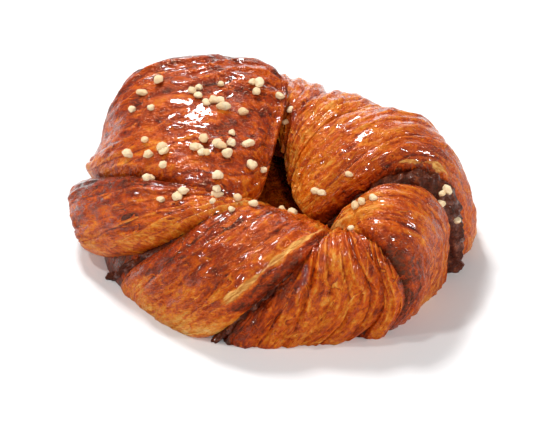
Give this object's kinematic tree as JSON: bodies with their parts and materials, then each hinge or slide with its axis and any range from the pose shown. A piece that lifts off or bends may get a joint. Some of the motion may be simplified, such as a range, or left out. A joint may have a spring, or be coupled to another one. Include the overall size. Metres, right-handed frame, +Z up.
{
  "type": "cinnamon twist pastry",
  "caption": "Flat knotted bun of laminated dough with folds round a small hollow, dark spiced filling in its seams and sugar nibs on top.",
  "frame": {"origin": "centre of the bounding box's bottom, on the plane the bun rests on", "axes": "+X to the right and along the longest extent, +Y to the back, +Z up"},
  "size_m": [0.112, 0.091, 0.0427],
  "materials": {
    "crust": "glazed, baked laminated dough: amber to red-brown crust, paler yellow in the folds, flaky relief",
    "cinnamon_filling": "dark brown, sticky, lumpy cinnamon paste, glossy where it is wet",
    "sugar_nibs": "opaque cream-white pearl sugar, rough and angular, slightly toasted"
  },
  "bodies": {
    "root": {"dough": "crust", "filling": "cinnamon_filling"}
  },
  "joints": []
}
